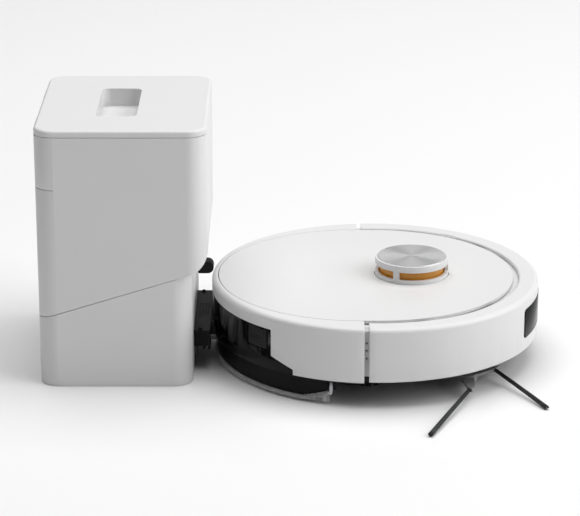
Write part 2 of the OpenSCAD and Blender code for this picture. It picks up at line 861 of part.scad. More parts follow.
module lidar_rotor() color([0.1, 0.1, 0.11]) at_turret() difference() {
    union() {
        disc(rotor_r, [belt_z[0] - 1, belt_z[1] + 1]);
        disc(27, [73, 78]);
        disc(29, [78, 96.5]);
    }
    disc(6 + run, [60, 76]);
    box([8, 40], [-40, 40], [86, 110]);
    rod_x(6.5, [2, 20], -11, 91.5);
    rod_x(4, [2, 20], 12, 91.5);
}

module lidar_motor() color(steel) at_robot() translate([lidar_motor_x, 0, 0]) difference() {
    union() {
        disc(9, [50.4, 61.9]);
        disc(3, [48.6, 51]);
    }
    disc(1 + run, [54, 63]);
}

module lidar_pulley() color(grey) at_robot() translate([lidar_motor_x, 0, 0]) {
    disc(1, [55, 70]);
    disc(pulley_r, [belt_z[0] - 0.2, belt_z[1] + 0.2]);
    disc(pulley_r + 1.4, [belt_z[1] + 0.2, belt_z[1] + 1.2]);
}

// A belt's outline round the large and the small pulley
module belt_outline(t) {
    big = rotor_r + t;
    small = pulley_r + t;
    reach = turret_x - lidar_motor_x;
    lean = acos((big - small) / reach);
    circle(r = big);
    translate([-reach, 0]) circle(r = small);
    polygon([
        big * [-cos(lean), sin(lean)], [-reach, 0] + small * [-cos(lean), sin(lean)],
        [-reach, 0] + small * [-cos(lean), -sin(lean)], big * [-cos(lean), -sin(lean)]
    ]);
}

module lidar_belt() color(black) at_turret() translate([0, 0, belt_z[0]])
    linear_extrude(belt_z[1] - belt_z[0]) difference() {
        belt_outline(1.5);
        belt_outline(0.3);
    }

// ---------- robot: tank, mop and fan ----------

module rear_tank() color(black) at_robot() difference() {
    union() {
        difference() {
            intersection() {
                side_view(200) tank_outline(0);
                disc(tank_r, tank_z);
            }
            intersection() {
                side_view(200) tank_outline(2.2);
                disc(tank_r - 2.2, [0, 90]);
            }
        }
        intersection() {
            both_sides() box([-168, tank_x - 1], [60, 62], [tank_z[0] + 1, tank_z[1] - 2.7]);
            disc(tank_r - 1, [0, 90]);
        }
        intersection() {
            box([-172, outlet_x - 1.2], [-outlet_half - 5, outlet_half + 5], [27.2, tank_z[0] + 1]);
            disc(tank_r, [0, 60]);
        }
        intersection() {
            for (s = [-1, 1])
                arc_block([160, tank_r - 1], [180 + s * (180 - button_angle) - 6.4,
                          180 + s * (180 - button_angle) + 6.4], [button_z[0] - 2.4, tank_z[1]]);
            behind(tank_x - 0.6);
        }
    }
    for (s = [-1, 1])
        arc_block([162, tank_r + 2], [180 + s * (180 - button_angle) - button_half - 0.4,
                  180 + s * (180 - button_angle) + button_half + 0.4],
                  [button_z[0] - 0.4, button_z[1] + 0.4]);
    intersection() {
        box([-172, outlet_x - 3.6], [-outlet_half - 2.6, outlet_half + 2.6], [29.6, tank_z[0] + 3]);
        disc(tank_r - 2.2, [0, 60]);
    }
    box([-175, -160], [-outlet_half, outlet_half], [port_z[0] + 1.5, port_z[1] - 1]);
    box([tank_x - 6, tank_x + 2], [-45, 45], [46, 62]);
}

module tank_cover() color(dark) at_robot() difference() {
    intersection() {
        box([-170, tank_x - 2.6], [-170, 170], [tank_z[1] - 2.5, tank_z[1]]);
        disc(tank_r - 2.6, [0, 90]);
    }
    for (s = [-1, 1])
        arc_block([159, 175], [180 + s * (180 - button_angle) - 7,
                  180 + s * (180 - button_angle) + 7], [50, 90]);
    translate([-130, 80, 0]) disc(6, [50, 90]);
}

module tank_button(a) {
    at_robot() difference() {
        arc_block([164.3, tank_r - 0.7], [a - button_half, a + button_half], button_z);
        for (z = [button_z[0] + 6:3:button_z[1] - 6])
            arc_block([tank_r - 1.1, tank_r + 1], [a - 3, a + 3], [z, z + 1]);
    }
}

module left_tank_button() color(dark) tank_button(button_angle);
module right_tank_button() color(dark) tank_button(-button_angle);

module air_filter() color([0.85, 0.85, 0.8]) at_robot() {
    difference() {
        box([tank_x - 14, tank_x - 2.6], [-50, 50], [42, 65]);
        box([tank_x - 20, tank_x], [-47, 47], [44.5, 62.5]);
    }
    for (y = [-45:6:45])
        box([tank_x - 13, tank_x - 4], [y, y + 1.2], [44, 63]);
    box([tank_x - 9, tank_x - 8], [-48, 48], [44, 63]);
}

module mop_plate() color(black) at_robot() difference() {
    intersection() {
        side_view(200) polygon([
            [-200, 6], [-75, 6], [-50.5, 15], [-50.5, 26.6], [-200, 26.6]
        ]);
        disc(164, [0, 40]);
    }
    intersection() {
        side_view(200) polygon([
            [-200, 9], [-75.5, 9], [-53, 17.2], [-53, 40], [-200, 40]
        ]);
        disc(161.5, [0, 50]);
        union() {
            for (y = [-160:40:120])
                box([-170, -50], [y + 1.5, y + 38.5], [0, 60]);
        }
    }
}

module mop_cloth() color([0.72, 0.72, 0.72]) at_robot() intersection() {
    side_view(200) polygon([
        [-200, 0], [-76, 0], [-46.2, 8.6], [-46.2, 24], [-50.1, 24], [-50.1, 14.6],
        [-75, cloth_t], [-200, cloth_t]
    ]);
    disc(167, [0, 40]);
}

module fan_housing() color(dark) at_robot() difference() {
    union() {
        rod_y(20, fan_at[0], fan_at[1], [-26, 26]);
        box([-98, fan_at[0]], [-20, 20], [42, 62]);
        box([fan_at[0] - 14, fan_at[0] + 14], [-22, 22], [apron_z[0] + 2.4, 40]);
    }
    rod_y(17, fan_at[0], fan_at[1], [-14, 14]);
    box([-100, fan_at[0] - 8], [-13, 13], [45, 59]);
    rod_y(2 + run, fan_at[0], fan_at[1], [-20, 20]);
}

module fan_impeller() color(grey) at_robot() {
    rod_y(2, fan_at[0], fan_at[1], [-18, 18]);
    rod_y(14.5, fan_at[0], fan_at[1], [8, 9.5]);
    for (a = [0:45:315])
        translate([fan_at[0], 0, fan_at[1]]) rotate([0, a, 0])
            box([1, 13.5], [-9, 8.6], [-0.6, 0.6]);
}

module battery_pack() color([0.15, 0.25, 0.5]) at_robot() difference() {
    box([28, 94], [-36, 36], [25.5, 47]);
    for (x = [46, 62, 78])
        box([x - 0.6, x + 0.6], [-37, 37], [46, 48]);
}

module main_board() color(green) at_robot() difference() {
    union() {
        box([-84, -20], [-62, 62], [72.4, 74]);
        box([-60, -46], [-20, -6], [73, 76]);
        box([-70, -62], [20, 45], [73, 76.2]);
        for (y = [-50, -36, 40])
            translate([-32, y, 0]) disc(4, [73, 76.4]);
    }
    for (x = [-80, -24], y = [-58, 58])
        translate([x, y, 0]) disc(1.6, [60, 90]);
}

// ---------- robot: brushes ----------

module brush_guard() color(dark) at_robot() difference() {
    box([-40, 24], [-88, 88], [floor_z - 2.6, floor_z - 0.2]);
    box([-26.5, 10.5], [-81, 81], [0, 30]);
    both_sides() box([-30, 14], [88 - 3, 90], [0, 30]);
}

module main_brush() color([0.2, 0.2, 0.22]) at_robot() {
    steps = 6;
    span = 2 * brush_half / steps;
    rod_y(3, brush_at[0], brush_at[1], [-86, 86]);
    rod_y(12, brush_at[0], brush_at[1], [-brush_half, brush_half]);
    for (i = [0:steps - 1], a = [0:60:300])
        translate([brush_at[0], 0, brush_at[1]]) rotate([0, a + 7 * abs(i - 2.5), 0])
            box([8, brush_r - 0.2], [-brush_half + i * span, -brush_half + (i + 1) * span],
                [-0.9, 0.9]);
}

module gear_motors() color(steel) at_robot() {
    rod_y(11, 8, 60, [38, 76]);
    rod_y(14, 8, 62.5, [76, 84]);
    translate([side_at[0], side_at[1], 0]) {
        disc(13, [27, 42]);
        box([-27, 1], [-9, 19], [27, 46]);
    }
}

// Lays a shape along one arm of the side brush
module on_arm(a) {
    at_robot() translate([side_at[0], side_at[1], 0]) rotate([0, 0, a]) children();
}

module side_brush_hub() color(grey) {
    on_arm(0) disc(11, [stub_z - 2, stub_z + 5]);
    on_arm(0) disc(5, [stub_z, 26.5]);
    for (arm = side_arms)
        on_arm(arm[0]) translate([0, 0, stub_z]) linear_extrude(3) polygon([
            [5, -6.5], [13, -6], [stub_len - 10, -4], [stub_len, 0], [stub_len - 10, 4],
            [13, 6], [5, 6.5]
        ]);
}

// Bundles that lie out along the floor, each rooted in a stub
module side_brush_bristles() color([0.13, 0.13, 0.14]) difference() {
    for (arm = side_arms) {
        reach = bristle_len * arm[2];
        drop = asin((stub_z + 1.5 - bristle_r) / reach);
        on_arm(arm[0]) translate([stub_len - 8.6, 0, stub_z + 1.5])
            rotate([0, 90 + drop, arm[1]]) cylinder(r1 = 1.4, r2 = bristle_r, h = reach);
    }
    side_brush_hub();
}

// ---------- robot: wheels ----------

// Drawn for the left side
module wheel_arm_shape() {
    difference() {
        union() {
            box([27, 49], [well_in + 0.5, well_out - 0.4], [34, 56]);
            rod_y(2.5, arm_pivot[0], arm_pivot[1], [well_in - 2.4, well_out + 2.4]);
            box([wheel_x, 30], [wheel_out + 0.8, well_out - 0.4], [26, 50]);
            rod_y(12, wheel_x, wheel_r, [wheel_out + 0.8, well_out - 0.4]);
        }
        rod_y(3 + run, wheel_x, wheel_r, [wheel_out - 2, well_out + 1]);
    }
}

module wheel_hub_shape() {
    difference() {
        union() {
            rod_y(24, wheel_x, wheel_r, [wheel_out - wheel_w + 0.4, wheel_out - 0.4]);
            rod_y(3, wheel_x, wheel_r, [wheel_out - 1, well_out - 0.6]);
        }
        for (a = [0:72:288])
            translate([wheel_x, 0, wheel_r]) rotate([0, a, 0])
                rod_y(4.2, 14, 0, [wheel_out - 5, wheel_out + 1]);
        difference() {
            rod_y(21.5, wheel_x, wheel_r, [wheel_out - 2.4, wheel_out + 1]);
            rod_y(7, wheel_x, wheel_r, [wheel_out - 3, wheel_out + 2]);
        }
    }
}

module tyre_shape() {
    lugs = 26;
    translate([wheel_x, wheel_mid + wheel_w / 2, wheel_r]) rotate([90, 0, 0])
        linear_extrude(wheel_w) difference() {
            circle(r = wheel_r);
            circle(r = 24);
            for (i = [0:lugs - 1])
                rotate([0, 0, 90 + (i + 0.5) * 360 / lugs]) translate([wheel_r - 1.8, -1.5])
                    square([4, 3]);
        }
}

module left_wheel_arm() color(dark) at_robot() wheel_arm_shape();
module right_wheel_arm() color(dark) at_robot() mirror([0, 1, 0]) wheel_arm_shape();
module left_wheel_hub() color(grey) at_robot() wheel_hub_shape();
module right_wheel_hub() color(grey) at_robot() mirror([0, 1, 0]) wheel_hub_shape();
module left_tyre() color(black) at_robot() tyre_shape();
module right_tyre() color(black) at_robot() mirror([0, 1, 0]) tyre_shape();

module caster_fork() color(dark) at_robot() difference() {
    union() {
        translate([caster_x, 0, 0]) disc(4, [26, 33]);
        translate([caster_x, 0, 0]) disc(9.5, [26.6, 28]);
        both_sides() box([caster_x - caster_trail - 5, caster_x + 3], [7.6, 9.5], [10, 28]);
    }
    rod_y(1.5 + run, caster_x - caster_trail, caster_r, [-12, 12]);
}

module caster_wheel() color(black) at_robot() {
    x = caster_x - caster_trail;
    rod_y(1.5, x, caster_r, [-9.4, 9.4]);
    rod_y(caster_r, x, caster_r, [-5, 5]);
    rod_y(caster_r - 1.2, x, caster_r, [-7.2, 7.2]);
}

// ---------- robot: small pieces ----------

module cliff_sensors() color(black) at_robot() for (a = sensor_angles)
    rotate([0, 0, a]) difference() {
        box([148, 158], [-8, 8], [22.6, 28]);
        for (y = [-4, 4])
            translate([153, y, 20]) cylinder(r = 2.2, h = 4);
    }

module robot_charge_pads() color(steel) at_robot() for (s = [-1, 1])
    arc_block([robot_r - 2.2, robot_r - 0.8], [180 + s * pad_angle - 2.4, 180 + s * pad_angle + 2.4],
              [contact_z - 3.5, contact_z + 3.5]);

module chassis_screws() color(steel) at_robot()
    for (p = [[60, 60], [30, -62]])
        translate([p[0], p[1], 0]) difference() {
            disc(3, [floor_z - 1.4, floor_z]);
            box([-2, 2], [-0.4, 0.4], [floor_z - 2, floor_z - 0.8]);
            box([-0.4, 0.4], [-2, 2], [floor_z - 2, floor_z - 0.8]);
        }

dock_base_shell();
dock_upper_shell();
dock_lid();
dock_lid_pins();
hood_liner();
docking_block();
port_seal();
charge_contacts();
air_duct();
dust_bag();
bag_collar();
blower_housing();
blower_impeller();
dock_circuit_board();
mains_inlet();
dock_feet();
rear_vent_panel();
chassis();
rear_apron();
upper_shell();
top_cover();
power_button();
turret_frame();
turret_disc();
turret_window();
lidar_base();
lidar_rotor();
lidar_motor();
lidar_pulley();
lidar_belt();
bumper();
front_window();
bumper_springs();
rear_tank();
tank_cover();
left_tank_button();
right_tank_button();
air_filter();
mop_plate();
mop_cloth();
fan_housing();
fan_impeller();
battery_pack();
main_board();
brush_guard();
main_brush();
gear_motors();
side_brush_hub();
side_brush_bristles();
left_wheel_arm();
left_wheel_hub();
left_tyre();
right_wheel_arm();
right_wheel_hub();
right_tyre();
caster_fork();
caster_wheel();
cliff_sensors();
robot_charge_pads();
chassis_screws();
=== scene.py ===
# Robot vacuum with mop on its self-emptying dock: looks, light and camera.
import math
import random

import bpy
import numpy as np
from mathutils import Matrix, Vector, noise


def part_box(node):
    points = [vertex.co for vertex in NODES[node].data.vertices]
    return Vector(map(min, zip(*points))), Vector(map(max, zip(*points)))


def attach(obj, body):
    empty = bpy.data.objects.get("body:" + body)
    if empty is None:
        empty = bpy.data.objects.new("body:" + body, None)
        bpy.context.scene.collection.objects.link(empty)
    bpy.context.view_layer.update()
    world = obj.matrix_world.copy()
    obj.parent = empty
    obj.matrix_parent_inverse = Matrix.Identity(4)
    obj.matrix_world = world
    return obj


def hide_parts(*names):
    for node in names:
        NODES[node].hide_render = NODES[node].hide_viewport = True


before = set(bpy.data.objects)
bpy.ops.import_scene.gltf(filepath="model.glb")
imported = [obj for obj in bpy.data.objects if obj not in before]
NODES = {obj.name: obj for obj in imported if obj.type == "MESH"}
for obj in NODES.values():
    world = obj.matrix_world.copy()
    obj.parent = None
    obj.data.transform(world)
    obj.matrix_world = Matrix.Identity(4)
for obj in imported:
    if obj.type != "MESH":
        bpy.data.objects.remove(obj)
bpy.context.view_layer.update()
scene = bpy.context.scene
MM = 0.001
ROBOT_X = 0.265
TURRET_X = ROBOT_X + 0.038


# ---------- camera ----------

CAMERA_PLACE = (0.1762, -2.4978, 0.9557)
CAMERA_PITCH = 71.1
CAMERA_LENS = 157.3

camera_data = bpy.data.cameras.new("camera")
camera_data.sensor_width = 36.0
camera_data.lens = CAMERA_LENS
camera_data.clip_end = 20.0
camera = bpy.data.objects.new("camera", camera_data)
camera.location = CAMERA_PLACE
camera.rotation_euler = (math.radians(CAMERA_PITCH), 0.0, 0.0)
scene.collection.objects.link(camera)
scene.camera = camera


# ---------- materials ----------

class Shader:
    """A Principled material with its own small node graph, in object coordinates."""

    def __init__(self, name, color, rough, **sockets):
        self.material = bpy.data.materials.new(name)
        self.material.use_nodes = True
        self.tree = self.material.node_tree
        self.bsdf = self.tree.nodes["Principled BSDF"]
        self.color = color
        self.set("Base Color", (*color, 1.0))
        self.set("Roughness", rough)
        for key, value in sockets.items():
            self.set(key.replace("_", " "), value)
        self.coords = self.node("ShaderNodeTexCoord").outputs["Object"]
        self.normal = None

    def node(self, kind, **inputs):
        made = self.tree.nodes.new(kind)
        for key, value in inputs.items():
            self.plug(made.inputs[key.replace("_", " ")], value)
        return made

    def plug(self, socket, value):
        if isinstance(value, bpy.types.NodeSocket):
            self.tree.links.new(value, socket)
        else:
            socket.default_value = value

    def set(self, socket, value):
        self.plug(self.bsdf.inputs[socket], value)

    def noise(self, scale, detail=2.0, rough=0.5, stretch=None):
        coords = self.coords
        if stretch:
            coords = self.node("ShaderNodeMapping", Vector=coords, Scale=stretch).outputs[0]
        made = self.node("ShaderNodeTexNoise", Vector=coords, Scale=scale, Detail=detail,
                         Roughness=rough)
        return made.outputs[0]

    def remap(self, value, low, high, start=0.0, end=1.0):
        made = self.node("ShaderNodeMapRange", Value=value)
        for key, number in (("From Min", start), ("From Max", end), ("To Min", low),
                            ("To Max", high)):
            made.inputs[key].default_value = number
        return made.outputs[0]

    def math(self, kind, *values):
        made = self.node("ShaderNodeMath")
        made.operation = kind
        for socket, value in zip(made.inputs, values):
            self.plug(socket, value)
        return made.outputs[0]

    def bump(self, height, distance, strength=1.0):
        made = self.node("ShaderNodeBump", Height=height, Distance=distance, Strength=strength)
        if self.normal:
            self.plug(made.inputs["Normal"], self.normal)
        self.normal = made.outputs[0]
        self.set("Normal", self.normal)

    def mix(self, factor, a, b):
        made = self.node("ShaderNodeMix")
        made.data_type = "RGBA"
        self.plug(made.inputs[0], factor)
        self.plug(made.inputs[6], (*a, 1.0) if isinstance(a, tuple) else a)
        self.plug(made.inputs[7], (*b, 1.0) if isinstance(b, tuple) else b)
        return made.outputs[2]

    def tint(self, factor, spread):
        """Base colour that wanders by a small spread round its own value."""
        dark = tuple(max(0.0, c * (1.0 - spread)) for c in self.color)
        light = tuple(min(1.0, c * (1.0 + spread)) for c in self.color)
        self.set("Base Color", self.mix(factor, dark, light))


def moulded(name, color, rough, grain=2200.0, depth=0.02, spread=0.02, rough_spread=0.04,
            **sockets):
    """Injection-moulded plastic: spark-eroded grain, faint flow marks and handling sheen."""
    s = Shader(name, color, rough, **sockets)
    broad = s.noise(9.0, 3.0)
    s.tint(broad, spread)
    s.set("Roughness", s.remap(s.noise(34.0, 4.0), rough - rough_spread, rough + rough_spread,
                               0.3, 0.7))
    s.bump(s.noise(26.0, 2.0), 0.12 * MM, 0.25)
    s.bump(s.noise(grain, 2.0, 0.6), depth * MM, 0.5)
    return s.material


def brushed(name, color, rough, stretch):
    """Metal with fine drawn lines along one direction."""
    s = Shader(name, color, rough, Metallic=1.0)
    lines = s.noise(900.0, 3.0, 0.6, stretch)
    s.tint(lines, 0.12)
    s.set("Roughness", s.remap(lines, rough - 0.08, rough + 0.1, 0.3, 0.7))
    s.bump(lines, 0.01 * MM, 0.4)
    return s.material


WHITE = moulded("white_plastic", (0.70, 0.70, 0.70), 0.42, Specular_IOR_Level=0.45)
COVER = moulded("cover_plastic", (0.70, 0.70, 0.70), 0.36, 2600.0, 0.012, 0.015,
                Specular_IOR_Level=0.5)
BLACK = moulded("black_plastic", (0.005, 0.005, 0.0055), 0.45, spread=0.25,
                Specular_IOR_Level=0.12)
DARK = moulded("dark_plastic", (0.014, 0.014, 0.015), 0.55, 1500.0, 0.03, 0.2,
               Specular_IOR_Level=0.2)
GREY = moulded("grey_plastic", (0.16, 0.16, 0.165), 0.45, spread=0.06)
FRAME_BLACK = moulded("socket_plastic", (0.014, 0.014, 0.015), 0.5, spread=0.2)
RUBBER = moulded("black_rubber", (0.022, 0.022, 0.023), 0.72, 1200.0, 0.05, 0.2)
STUB = moulded("side_brush_grey", (0.26, 0.26, 0.265), 0.5, 1500.0, 0.03, 0.12)
FINS = moulded("brush_rubber", (0.035, 0.035, 0.04), 0.62, 1400.0, 0.04, 0.2)
STEEL = brushed("steel_pins", (0.62, 0.62, 0.64), 0.28, (0.04, 1.0, 1.0))
MOTOR = brushed("motor_steel", (0.48, 0.48, 0.5), 0.34, (1.0, 1.0, 0.05))
CONTACT = brushed("contact_metal", (0.10, 0.095, 0.09), 0.42, (0.05, 1.0, 1.0))


def gloss_black(name, specular):
    """Piano-black plastic with the faint orange peel and fine hairlines of a real one."""
    s = Shader(name, (0.004, 0.004, 0.005), 0.14, Specular_IOR_Level=specular)
    s.tint(s.noise(12.0), 0.3)
    s.set("Roughness", s.remap(s.noise(60.0, 4.0), 0.11, 0.19, 0.3, 0.7))
    s.bump(s.noise(95.0, 2.0), 0.03 * MM, 0.35)
    return s.material


def radial_disc(centre):
    """Spun aluminium: fine rings cut round the turret's axis."""
    s = Shader("brushed_disc", (0.80, 0.80, 0.81), 0.27, Metallic=1.0, Anisotropic=0.9)
    tangent = s.node("ShaderNodeTangent")
    tangent.direction_type = "RADIAL"
    tangent.axis = "Z"
    s.set("Tangent", tangent.outputs[0])
    offset = s.node("ShaderNodeVectorMath", Vector=s.coords)
    offset.operation = "SUBTRACT"
    offset.inputs[1].default_value = (*centre, 0.0)
    flat = s.node("ShaderNodeVectorMath", Vector=offset.outputs[0])
    flat.operation = "MULTIPLY"
    flat.inputs[1].default_value = (1.0, 1.0, 0.0)
    length = s.node("ShaderNodeVectorMath", Vector=flat.outputs[0])
    length.operation = "LENGTH"
    radius = length.outputs["Value"]
    rings = s.node("ShaderNodeTexNoise", Scale=1.0, Detail=3.0)
    rings.noise_dimensions = "1D"
    s.plug(rings.inputs["W"], s.math("MULTIPLY", radius, 5200.0))
    s.tint(rings.outputs[0], 0.08)
    s.set("Roughness", s.remap(rings.outputs[0], 0.22, 0.34, 0.3, 0.7))
    s.bump(rings.outputs[0], 0.004 * MM, 0.5)
    return s.material


def amber():
    """Clear amber lens with a little tinting through its thickness and a faint painted glow."""
    s = Shader("amber_window", (0.72, 0.32, 0.01), 0.16, Specular_IOR_Level=0.5, IOR=1.5)
    s.set("Transmission Weight", 0.45)
    # Painted glow: a faint orange emission lights the lens from within, though it is no lamp
    s.set("Emission Color", (1.0, 0.46, 0.02, 1.0))
    s.set("Emission Strength", 0.05)
    s.tint(s.noise(60.0, 2.0), 0.12)
    s.set("Roughness", s.remap(s.noise(200.0, 3.0), 0.12, 0.2, 0.3, 0.7))
    s.bump(s.noise(400.0), 0.01 * MM, 0.4)
    return s.material


def board():
    """Solder mask with copper tracks showing through it."""
    s = Shader("circuit_board", (0.02, 0.13, 0.05), 0.35, Specular_IOR_Level=0.5)
    cells = s.node("ShaderNodeTexVoronoi", Vector=s.coords, Scale=260.0)
    cells.distance = "MANHATTAN"
    tracks = s.math("LESS_THAN", cells.outputs["Distance"], 0.22)
    s.set("Base Color", s.mix(tracks, (0.02, 0.13, 0.05), (0.05, 0.24, 0.09)))
    s.set("Roughness", s.remap(s.noise(80.0, 3.0), 0.28, 0.45, 0.3, 0.7))
    s.bump(tracks, 0.03 * MM, 0.6)
    return s.material


def wrap():
    """Shrink-wrap sleeve drawn tight over cells."""
    s = Shader("battery_wrap", (0.03, 0.09, 0.30), 0.22, Specular_IOR_Level=0.5)
    s.tint(s.noise(20.0, 3.0), 0.15)
    s.set("Roughness", s.remap(s.noise(70.0, 3.0), 0.16, 0.3, 0.3, 0.7))
    s.bump(s.noise(55.0, 3.0, 0.6, (1.0, 0.15, 1.0)), 0.4 * MM, 0.5)
    return s.material


def woven(name, color, pitch, rough=0.9, depth=0.1, sheen=0.3, spread=0.12):
    """Cloth or paper: crossed threads at a real pitch over slow colour variation."""
    s = Shader(name, color, rough)
    s.set("Sheen Weight", sheen)
    s.set("Sheen Roughness", 0.5)
    s.tint(s.noise(70.0, 5.0, 0.6), spread)
    waves = []
    for axis in ("X", "Y"):
        wave = s.node("ShaderNodeTexWave", Vector=s.coords, Scale=0.5 / pitch, Distortion=1.5,
                      Detail=2.0)
        wave.bands_direction = axis
        waves.append(wave.outputs["Fac"])
    s.bump(s.math("MAXIMUM", *waves), depth * MM, 0.6)
    s.bump(s.noise(700.0, 4.0, 0.7), depth * MM, 0.5)
    s.set("Roughness", s.remap(s.noise(300.0, 3.0), rough - 0.08, min(1.0, rough + 0.08)))
    return s.material


def card():
    """Grey-brown board with short fibres."""
    s = Shader("bag_card", (0.42, 0.31, 0.19), 0.85)
    fibres = s.noise(420.0, 5.0, 0.7, (1.0, 0.2, 1.0))
    s.tint(fibres, 0.18)
    s.bump(fibres, 0.06 * MM, 0.6)
    s.set("Roughness", s.remap(fibres, 0.78, 0.95))
    return s.material


GLOSS = gloss_black("gloss_black", 0.14)
SMOKED = gloss_black("smoked_window", 0.03)
AMBER = amber()
BOARD = board()
BATTERY = wrap()
CARD = card()
PAPER = woven("bag_paper", (0.74, 0.72, 0.66), 0.45 * MM, 0.88, 0.05, 0.15, 0.06)
PLEATS = woven("filter_paper", (0.76, 0.76, 0.70), 0.3 * MM, 0.92, 0.05, 0.1, 0.06)
MOP = woven("mop_fabric", (0.72, 0.72, 0.73), 1.1 * MM, 0.95, 0.35, 0.4, 0.16)
BRISTLE = moulded("bristle_dark", (0.028, 0.028, 0.03), 0.42, 2500.0, 0.02, 0.25)
DISC = radial_disc((TURRET_X, 0.0))
TYRE = moulded("wheel_tyre", (0.02, 0.02, 0.021), 0.8, 900.0, 0.08, 0.2)

FINISH = {
    "dock_base_shell": WHITE, "dock_upper_shell": WHITE, "dock_lid": WHITE,
    "dock_lid_pins": STEEL, "hood_liner": BLACK, "docking_block": BLACK, "port_seal": RUBBER,
    "charge_contacts": CONTACT, "air_duct": GREY, "bag_collar": CARD, "blower_housing": DARK,
    "blower_impeller": GREY, "dock_circuit_board": BOARD, "mains_inlet": FRAME_BLACK,
    "dock_feet": RUBBER, "rear_vent_panel": WHITE,
    "chassis": DARK, "rear_apron": GLOSS, "upper_shell": WHITE, "top_cover": COVER,
    "power_button": GREY, "turret_frame": COVER, "turret_disc": DISC, "turret_window": AMBER,
    "lidar_base": DARK, "lidar_rotor": BLACK, "lidar_motor": MOTOR, "lidar_pulley": GREY,
    "lidar_belt": RUBBER, "bumper": WHITE, "front_window": SMOKED, "bumper_springs": STEEL,
    "rear_tank": GLOSS, "tank_cover": DARK, "left_tank_button": DARK,
    "right_tank_button": DARK, "air_filter": PLEATS, "mop_plate": BLACK,
    "fan_housing": DARK, "fan_impeller": GREY, "battery_pack": BATTERY, "main_board": BOARD,
    "brush_guard": DARK, "main_brush": FINS, "gear_motors": MOTOR, "side_brush_hub": STUB,
    "left_wheel_arm": DARK, "left_wheel_hub": GREY, "left_tyre": TYRE,
    "right_wheel_arm": DARK, "right_wheel_hub": GREY, "right_tyre": TYRE,
    "caster_fork": DARK, "caster_wheel": BLACK, "cliff_sensors": FRAME_BLACK,
    "robot_charge_pads": CONTACT, "chassis_screws": STEEL,
}
for name, material in FINISH.items():
    data = NODES[name].data
    data.materials.clear()
    data.materials.append(material)


# ---------- softened edges on the moulded shells ----------

EDGE_ANGLE = 32.0


def soften(name, width):
    """A small moulding radius on every sharp edge of a CAD node."""
    node = NODES[name]
    weld = node.modifiers.new("weld", "WELD")
    weld.merge_threshold = 0.005 * MM
    bevel = node.modifiers.new("bevel", "BEVEL")
    bevel.width = width * MM
    bevel.segments = 3
    bevel.limit_method = "ANGLE"
    bevel.angle_limit = math.radians(EDGE_ANGLE)
    bevel.use_clamp_overlap = True
    bevel.harden_normals = True


EDGES = {
    "dock_base_shell": 0.7, "dock_upper_shell": 0.5, "dock_lid": 0.5, "upper_shell": 0.4,
    "top_cover": 0.5, "bumper": 0.4, "turret_frame": 0.4, "turret_disc": 0.25,
    "rear_tank": 0.5, "rear_apron": 0.5, "docking_block": 0.8, "hood_liner": 0.5,
    "mop_plate": 0.4, "side_brush_hub": 0.5, "chassis": 0.3, "rear_vent_panel": 0.3,
    "left_tank_button": 0.3, "right_tank_button": 0.3, "power_button": 0.3,
    "front_window": 0.25, "brush_guard": 0.3, "mains_inlet": 0.3, "bag_collar": 0.2,
    "battery_pack": 0.8, "tank_cover": 0.3, "blower_housing": 0.4, "left_wheel_hub": 0.3,
    "right_wheel_hub": 0.3, "left_tyre": 0.25, "right_tyre": 0.25, "caster_wheel": 0.3,
}
for name, width in EDGES.items():
    soften(name, width)


# ---------- piece helpers ----------

# Lowest that a loose fibre's middle line comes to the floor
FIBRE_LOW = 0.3 * MM


def piece(name, verts, faces, material, body, slot):
    """A smooth-shaded mesh that rides on a body."""
    data = bpy.data.meshes.new(name)
    data.from_pydata([tuple(v) for v in verts], [], [tuple(f) for f in faces])
    data.validate()
    data.materials.append(material)
    data.polygons.foreach_set("use_smooth", [True] * len(data.polygons))
    made = bpy.data.objects.new(name, data)
    scene.collection.objects.link(made)
    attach(made, body)
    return made


def strand(path, radii, sides=5):
    """A thin round fibre along a path: its vertices and faces."""
    verts, faces = [], []
    path = [Vector(p) for p in path]
    for i, p in enumerate(path):
        ahead = (path[min(i + 1, len(path) - 1)] - path[max(i - 1, 0)]).normalized()
        side = ahead.orthogonal().normalized()
        up = ahead.cross(side)
        for k in range(sides):
            a = 2.0 * math.pi * k / sides
            verts.append(p + radii[i] * (math.cos(a) * side + math.sin(a) * up))
    for i in range(len(path) - 1):
        for k in range(sides):
            n = (k + 1) % sides
            faces.append((i * sides + k, i * sides + n, (i + 1) * sides + n, (i + 1) * sides + k))
    faces.append(tuple(range(sides - 1, -1, -1)))
    faces.append(tuple((len(path) - 1) * sides + k for k in range(sides)))
    return verts, faces


def gather(parts):
    """Joins lists of vertices and faces into one."""
    verts, faces = [], []
    for v, f in parts:
        base = len(verts)
        verts.extend(v)
        faces.extend([tuple(i + base for i in face) for face in f])
    return verts, faces


# ---------- side brush bristles ----------

SIDE_HUB = Vector((ROBOT_X + 0.0904, -0.1035, 0.0))
ROOT_AT = 34.4 * MM
ROOT_Z = 10.0 * MM
BUNDLE_DROP = 7.8 * MM
BRISTLES = 120
BRISTLE_STEPS = 8
# Each arm: its angle, the way its bundle sweeps (both in degrees) and its length in mm
SIDE_ARMS = ((-86.3, -28.0, 112.0), (33.7, -95.2, 98.6), (153.7, -43.0, 80.6))
rng = random.Random(11)


